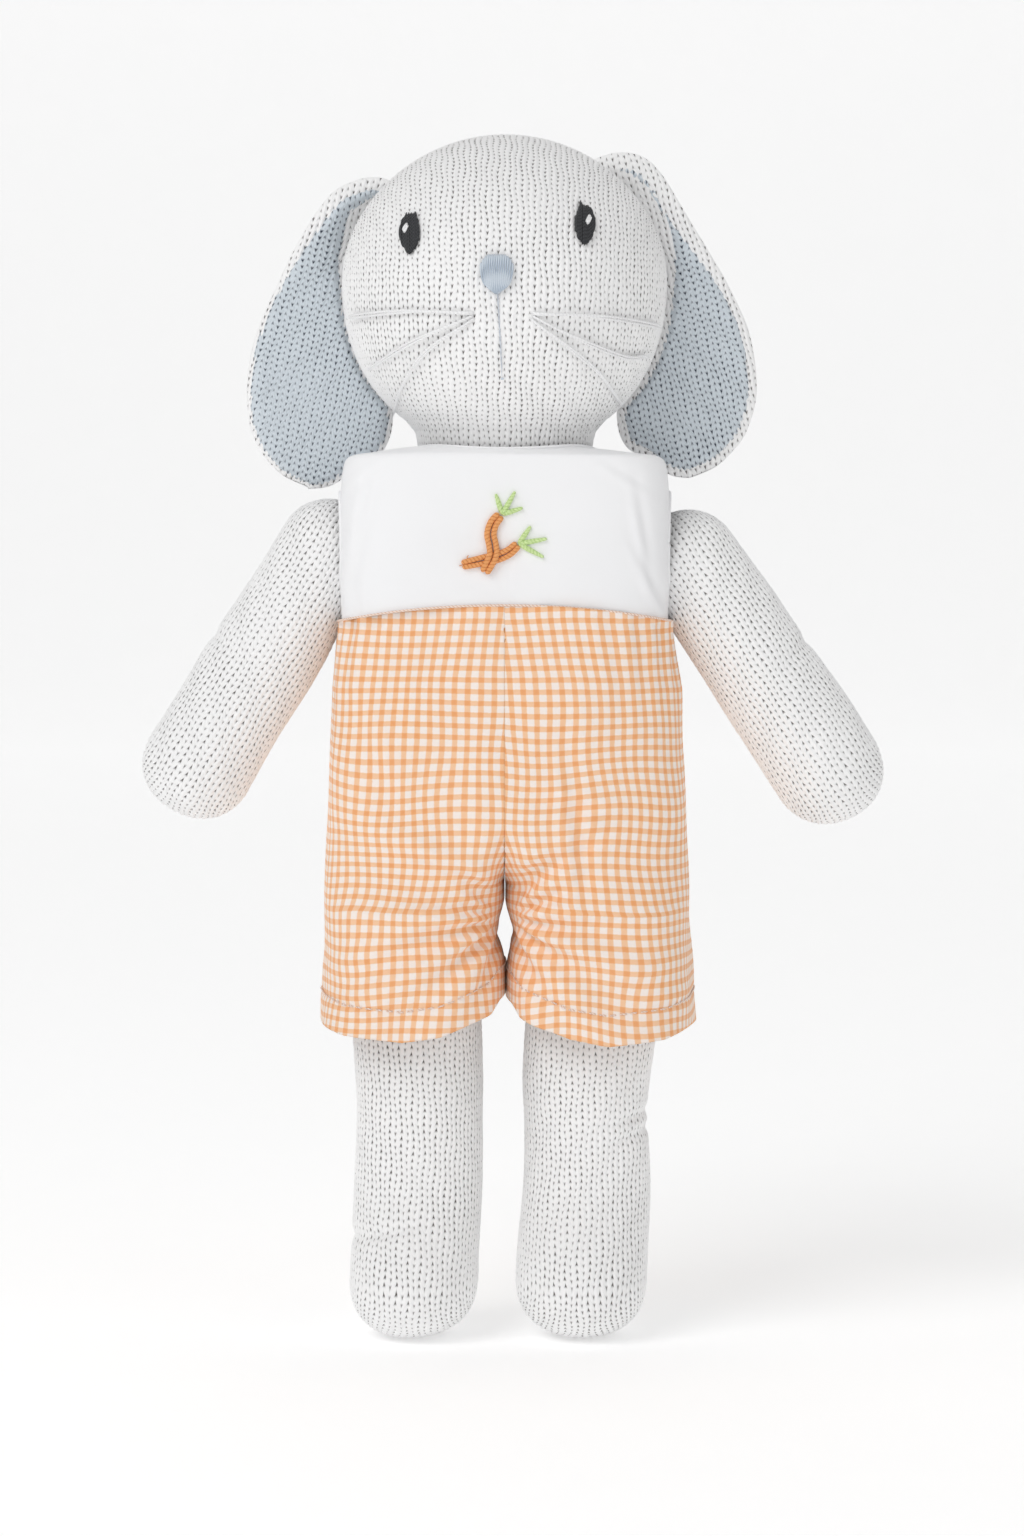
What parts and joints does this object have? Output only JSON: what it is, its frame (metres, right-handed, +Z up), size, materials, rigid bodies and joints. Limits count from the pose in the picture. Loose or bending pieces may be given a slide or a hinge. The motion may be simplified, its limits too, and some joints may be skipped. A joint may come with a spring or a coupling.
{
  "type": "stuffed rabbit doll",
  "caption": "Knitted stuffed rabbit doll that stands on round feet, with lop ears lined in blue, and a romper with a plain white bodice and checked shorts.",
  "frame": {"origin": "on the floor between the feet, under the middle of the doll", "axes": "+Z up through the crown; the face looks along -Y; the doll's own left is +X"},
  "size_m": [0.2132, 0.0976, 0.356],
  "materials": {
    "knit_white": "matte knitted cotton",
    "knit_blue": "matte knitted cotton",
    "stuffing": "loose polyester fibre",
    "cotton_white": "plain woven cotton",
    "gingham": "yarn-dyed woven cotton check",
    "thread_white": "cotton sewing thread",
    "thread_black": "satin stitch embroidery thread",
    "thread_blue": "satin stitch embroidery thread",
    "thread_orange": "rolled embroidery thread",
    "thread_green": "embroidery thread",
    "button": "pearl white"
  },
  "bodies": {
    "root": {"torso_skin": "knit_white", "torso_stuffing": "stuffing", "bodice_front": "cotton_white", "bodice_back_left": "cotton_white", "bodice_back_right": "cotton_white", "back_buttons": "button", "waist_piping": "thread_orange", "shorts_top_left": "gingham", "shorts_top_right": "gingham", "carrot_upright": "thread_orange", "carrot_cross": "thread_orange", "greens_upper": "thread_green", "greens_lower": "thread_green"},
    "neck": {"neck_thread": "thread_white"},
    "head": {"head_skin": "knit_white", "head_stuffing": "stuffing", "eye_left": "thread_black", "eye_right": "thread_black", "glint_left": "thread_white", "glint_right": "thread_white", "nose": "thread_blue", "mouth_stitch": "thread_blue", "whiskers_left": "thread_white", "whiskers_right": "thread_white"},
    "left_ear": {"ear_back_left": "knit_white", "ear_lining_left": "knit_blue"},
    "left_shoulder": {"shoulder_thread_left": "thread_white"},
    "left_arm": {"arm_skin_left": "knit_white", "arm_stuffing_left": "stuffing"},
    "left_leg": {"leg_skin_left": "knit_white", "leg_stuffing_left": "stuffing", "shorts_leg_left": "gingham", "hem_thread_left": "thread_white"},
    "right_ear": {"ear_back_right": "knit_white", "ear_lining_right": "knit_blue"},
    "right_shoulder": {"shoulder_thread_right": "thread_white"},
    "right_arm": {"arm_skin_right": "knit_white", "arm_stuffing_right": "stuffing"},
    "right_leg": {"leg_skin_right": "knit_white", "leg_stuffing_right": "stuffing", "shorts_leg_right": "gingham", "hem_thread_right": "thread_white"}
  },
  "joints": [
    {"name": "head_turn", "type": "hinge", "parent": "root", "child": "neck", "pos_m": [0, 0, 0.259], "axis": [0, 0, 1], "range_deg": [-12, 12], "stiffness_Nm_per_rad": 0.2},
    {"name": "head_nod", "type": "hinge", "parent": "neck", "child": "head", "pos_m": [0, 0, 0.259], "axis": [1, 0, 0], "range_deg": [-10, 10], "stiffness_Nm_per_rad": 0.25},
    {"name": "left_ear_lift", "type": "hinge", "parent": "head", "child": "left_ear", "pos_m": [0.0375, 0.012, 0.348], "axis": [0, -1, 0], "range_deg": [0, 110]},
    {"name": "right_ear_lift", "type": "hinge", "parent": "head", "child": "right_ear", "pos_m": [-0.0375, 0.012, 0.343], "axis": [0, 1, 0], "range_deg": [0, 110]},
    {"name": "left_arm_swing", "type": "hinge", "parent": "root", "child": "left_shoulder", "pos_m": [0.052, 0, 0.234], "axis": [-1, 0, 0], "range_deg": [-40, 80], "stiffness_Nm_per_rad": 0.06},
    {"name": "left_arm_raise", "type": "hinge", "parent": "left_shoulder", "child": "left_arm", "pos_m": [0.052, 0, 0.234], "axis": [0, -1, 0], "range_deg": [0, 50], "stiffness_Nm_per_rad": 0.06},
    {"name": "right_arm_swing", "type": "hinge", "parent": "root", "child": "right_shoulder", "pos_m": [-0.052, 0, 0.234], "axis": [-1, 0, 0], "range_deg": [-40, 80], "stiffness_Nm_per_rad": 0.06},
    {"name": "right_arm_raise", "type": "hinge", "parent": "right_shoulder", "child": "right_arm", "pos_m": [-0.052, 0, 0.234], "axis": [0, 1, 0], "range_deg": [0, 50], "stiffness_Nm_per_rad": 0.06},
    {"name": "left_leg_swing", "type": "hinge", "parent": "root", "child": "left_leg", "pos_m": [0.0245, 0, 0.13], "axis": [-1, 0, 0], "range_deg": [-20, 90], "stiffness_Nm_per_rad": 0.6},
    {"name": "right_leg_swing", "type": "hinge", "parent": "root", "child": "right_leg", "pos_m": [-0.0245, 0, 0.13], "axis": [-1, 0, 0], "range_deg": [-20, 90], "stiffness_Nm_per_rad": 0.6}
  ]
}
